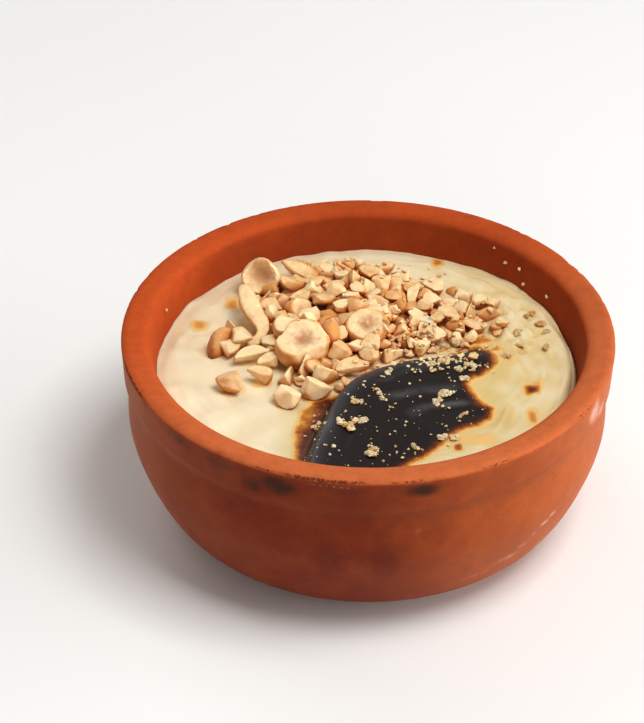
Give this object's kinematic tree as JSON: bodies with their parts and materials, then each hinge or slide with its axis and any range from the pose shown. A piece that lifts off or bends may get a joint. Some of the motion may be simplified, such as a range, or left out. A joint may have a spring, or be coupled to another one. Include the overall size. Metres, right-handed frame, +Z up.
{
  "type": "rice pudding in a clay bowl",
  "caption": "Oven-baked rice pudding in a round unglazed clay bowl, with a burnt blister of skin at the front and a heap of chopped hazelnuts.",
  "frame": {"origin": "middle of the bowl's flat base, on the surface that it stands on", "axes": "+Z up through the middle of the bowl, -Y to the side with the burnt skin"},
  "size_m": [0.12, 0.12, 0.05],
  "materials": {
    "terracotta": "unglazed fired clay, matt with a faint burnished sheen",
    "pudding_skin": "soft baked milk skin, satin, burnt black with golden edges at the front",
    "hazelnut": "chopped roasted hazelnut kernels, matt"
  },
  "bodies": {
    "root": {"bowl": "terracotta", "pudding": "pudding_skin", "hazelnuts": "hazelnut"}
  },
  "joints": []
}
